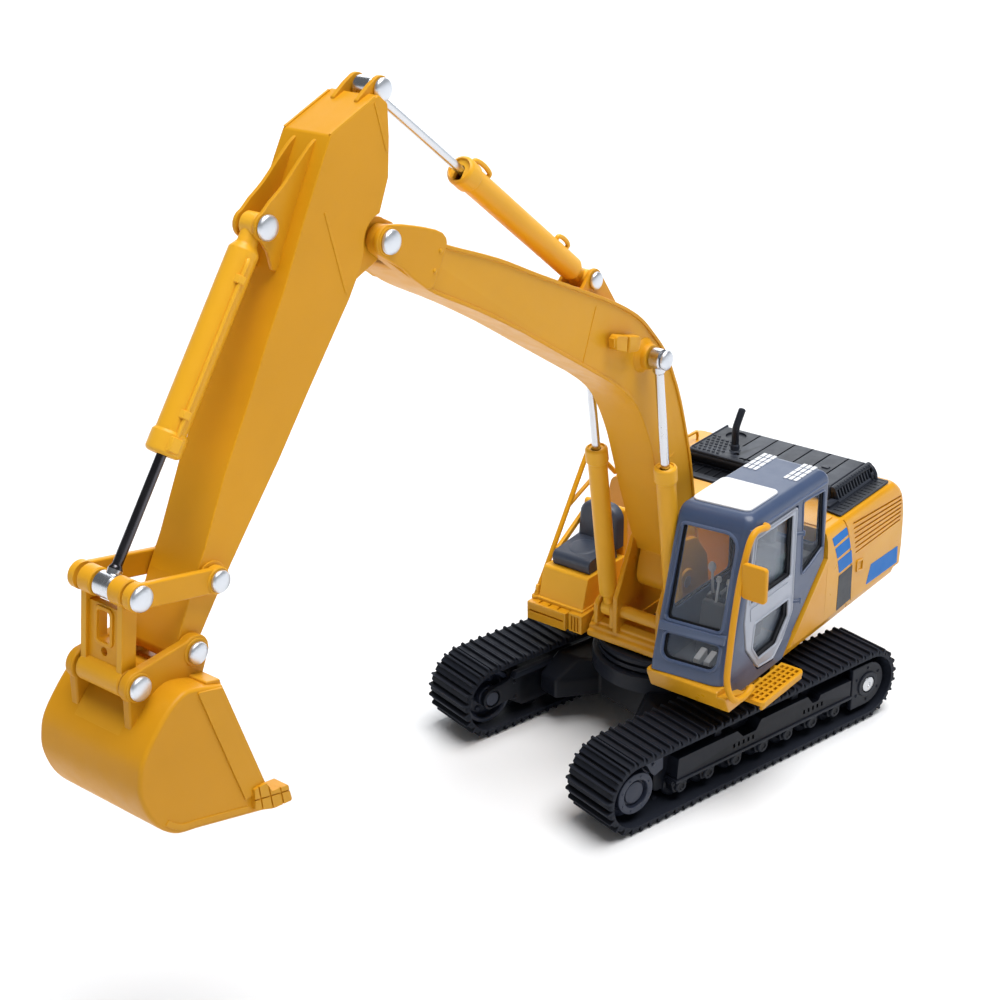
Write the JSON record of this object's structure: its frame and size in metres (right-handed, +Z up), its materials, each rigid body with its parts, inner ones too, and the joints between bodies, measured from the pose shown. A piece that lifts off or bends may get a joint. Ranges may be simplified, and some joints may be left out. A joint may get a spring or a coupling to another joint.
{
  "type": "toy excavator",
  "caption": "Toy crawler excavator with rubber tracks, swinging house and cab, and a jointed boom, arm and bucket moved by telescoping cylinders.",
  "frame": {"origin": "on the ground, under the middle of the whole machine's bounding box", "axes": "+X the way the boom points, +Y the cab side, +Z up"},
  "size_m": [0.259, 0.0978, 0.1939],
  "materials": {
    "yellow_diecast": "satin",
    "yellow_plastic": "satin",
    "cab_plastic": "satin",
    "door_plastic": "satin",
    "charcoal_plastic": "matte",
    "black_plastic": "matte",
    "track_rubber": "matte",
    "seat_plastic": "matte",
    "clear_plastic": "gloss",
    "white_plastic": "gloss",
    "steel": "polished",
    "chrome_plated": "polished"
  },
  "bodies": {
    "undercarriage": {"chassis_frame": "black_plastic", "chassis_cover": "black_plastic", "slew_ring": "steel", "left_track_frame": "black_plastic", "right_track_frame": "black_plastic", "left_track_belt": "track_rubber", "right_track_belt": "track_rubber", "left_sprocket_axle": "steel", "right_sprocket_axle": "steel"},
    "left_idler": {"left_idler_wheel": "charcoal_plastic"},
    "left_sprocket": {"left_sprocket_wheel": "black_plastic"},
    "right_idler": {"right_idler_wheel": "charcoal_plastic"},
    "right_sprocket": {"right_sprocket_wheel": "black_plastic"},
    "house": {"deck_frame": "yellow_diecast", "slew_screw": "steel", "boom_foot_pin": "chrome_plated", "boom_cylinder_base_pin": "chrome_plated", "house_shell": "yellow_diecast", "counterweight": "yellow_diecast", "engine_hood": "charcoal_plastic", "engine_grille": "charcoal_plastic", "exhaust_pipe": "charcoal_plastic", "cab_shell": "cab_plastic", "cab_glazing": "clear_plastic", "roof_hatch": "white_plastic", "operator_seat": "seat_plastic", "control_console": "black_plastic", "cab_handrail": "yellow_plastic", "mirror": "yellow_plastic", "step_plate": "yellow_plastic", "tool_box": "yellow_plastic", "bench_cover": "seat_plastic", "guard_rail": "yellow_plastic"},
    "door": {"cab_door": "door_plastic", "door_glazing": "clear_plastic"},
    "boom": {"boom": "yellow_plastic", "work_lamp": "yellow_plastic", "arm_pivot_pin": "chrome_plated", "arm_cylinder_base_pin": "chrome_plated", "boom_cylinder_rod_pin": "chrome_plated"},
    "boom_barrel_left": {"boom_cylinder_barrel_left": "yellow_plastic"},
    "boom_barrel_right": {"boom_cylinder_barrel_right": "yellow_plastic"},
    "boom_rod_left": {"boom_cylinder_rod_left": "chrome_plated"},
    "boom_rod_right": {"boom_cylinder_rod_right": "chrome_plated"},
    "arm": {"arm": "yellow_plastic", "arm_cylinder_rod_pin": "chrome_plated", "bucket_cylinder_base_pin": "chrome_plated", "side_link_pin": "chrome_plated", "bucket_pin": "chrome_plated"},
    "arm_barrel": {"arm_cylinder_barrel": "yellow_plastic"},
    "arm_rod": {"arm_cylinder_rod": "chrome_plated"},
    "side_links": {"side_link_left": "yellow_plastic", "side_link_right": "yellow_plastic", "link_top_pin": "chrome_plated"},
    "h_link": {"h_link": "yellow_plastic"},
    "bucket_barrel": {"bucket_cylinder_barrel": "yellow_plastic"},
    "bucket_rod": {"bucket_cylinder_rod": "chrome_plated"},
    "bucket": {"bucket": "yellow_plastic", "bucket_link_pin": "chrome_plated"}
  },
  "joints": [
    {"name": "swing", "type": "hinge", "parent": "undercarriage", "child": "house", "pos_m": [-0.0597, 0, 0.027], "axis": [0, 0, 1], "continuous": true},
    {"name": "boom_lift", "type": "hinge", "parent": "house", "child": "boom", "pos_m": [-0.0557, 0.00136, 0.046], "axis": [0, -1, 0], "range_deg": [-22, 10]},
    {"name": "boom_barrel_left_tilt", "type": "hinge", "parent": "house", "child": "boom_barrel_left", "pos_m": [-0.0469, 0.01176, 0.0365], "axis": [0, -1, 0], "range_deg": [-20.47, 9.58]},
    {"name": "boom_rod_left_tilt", "type": "hinge", "parent": "boom", "child": "boom_rod_left", "pos_m": [-0.0363, 0.01176, 0.1142], "axis": [0, -1, 0], "range_deg": [-1.43, 2.54]},
    {"name": "boom_barrel_right_tilt", "type": "hinge", "parent": "house", "child": "boom_barrel_right", "pos_m": [-0.0469, -0.00904, 0.0365], "axis": [0, -1, 0], "range_deg": [-20.47, 9.58]},
    {"name": "boom_rod_right_tilt", "type": "hinge", "parent": "boom", "child": "boom_rod_right", "pos_m": [-0.0363, -0.00904, 0.1142], "axis": [0, -1, 0], "range_deg": [-1.43, 2.54]},
    {"name": "arm_swing", "type": "hinge", "parent": "boom", "child": "arm", "pos_m": [0.0526, 0.00136, 0.1637], "axis": [0, -1, 0], "range_deg": [-24, 24]},
    {"name": "arm_barrel_tilt", "type": "hinge", "parent": "boom", "child": "arm_barrel", "pos_m": [-0.0196, 0.00136, 0.1366], "axis": [0, -1, 0], "range_deg": [-4.31, 4.31]},
    {"name": "arm_rod_tilt", "type": "hinge", "parent": "arm", "child": "arm_rod", "pos_m": [0.0485, 0.00136, 0.1913], "axis": [0, -1, 0], "range_deg": [-20.7, 20.7]},
    {"name": "bucket_curl", "type": "hinge", "parent": "arm", "child": "bucket", "pos_m": [0.1102, 0.00136, 0.1008], "axis": [0, -1, 0], "range_deg": [-45, 25]},
    {"name": "side_link_tilt", "type": "hinge", "parent": "arm", "child": "side_links", "pos_m": [0.1031, 0.00136, 0.1124], "axis": [0, -1, 0], "range_deg": [-31.42, 17.68]},
    {"name": "h_link_tilt", "type": "hinge", "parent": "side_links", "child": "h_link", "pos_m": [0.1213, 0.00136, 0.1165], "axis": [0, -1, 0], "range_deg": [-10.69, 18.84]},
    {"name": "bucket_barrel_tilt", "type": "hinge", "parent": "arm", "child": "bucket_barrel", "pos_m": [0.0799, 0.00136, 0.1721], "axis": [0, -1, 0], "range_deg": [-4.47, 2.71]},
    {"name": "bucket_rod_tilt", "type": "hinge", "parent": "side_links", "child": "bucket_rod", "pos_m": [0.1213, 0.00136, 0.1165], "axis": [0, -1, 0], "range_deg": [-15.48, 27.46]},
    {"name": "cab_door_swing", "type": "hinge", "parent": "house", "child": "door", "pos_m": [-0.0681, 0.03596, 0.05], "axis": [0, 0, 1], "range_deg": [0, 75]},
    {"name": "left_sprocket_spin", "type": "hinge", "parent": "undercarriage", "child": "left_sprocket", "pos_m": [-0.09353, 0.03835, 0.0107], "axis": [0.2368, 0.9715, 0], "continuous": true},
    {"name": "left_idler_spin", "type": "hinge", "parent": "undercarriage", "child": "left_idler", "pos_m": [-0.01202, 0.01848, 0.0107], "axis": [0.2368, 0.9715, 0], "continuous": true},
    {"name": "right_sprocket_spin", "type": "hinge", "parent": "undercarriage", "child": "right_sprocket", "pos_m": [-0.10738, -0.01848, 0.0107], "axis": [0.2368, 0.9715, 0], "continuous": true},
    {"name": "right_idler_spin", "type": "hinge", "parent": "undercarriage", "child": "right_idler", "pos_m": [-0.02587, -0.03835, 0.0107], "axis": [0.2368, 0.9715, 0], "continuous": true}
  ],
  "couplings": [
    {"joint": "boom_barrel_left_tilt", "follows": "boom_lift", "ratio": 0.9073},
    {"joint": "boom_rod_left_tilt", "follows": "boom_lift", "ratio": -0.0927},
    {"joint": "boom_barrel_right_tilt", "follows": "boom_lift", "ratio": 0.9073},
    {"joint": "boom_rod_right_tilt", "follows": "boom_lift", "ratio": -0.0927},
    {"joint": "arm_barrel_tilt", "follows": "arm_swing", "ratio": 0.1586},
    {"joint": "arm_rod_tilt", "follows": "arm_swing", "ratio": -0.8414},
    {"joint": "side_link_tilt", "follows": "bucket_curl", "ratio": 0.687},
    {"joint": "h_link_tilt", "follows": "bucket_curl", "ratio": -0.4074},
    {"joint": "bucket_barrel_tilt", "follows": "bucket_curl", "ratio": 0.0881},
    {"joint": "bucket_rod_tilt", "follows": "bucket_curl", "ratio": -0.5989},
    {"joint": "left_idler_spin", "follows": "left_sprocket_spin", "ratio": 1},
    {"joint": "right_idler_spin", "follows": "right_sprocket_spin", "ratio": 1}
  ]
}
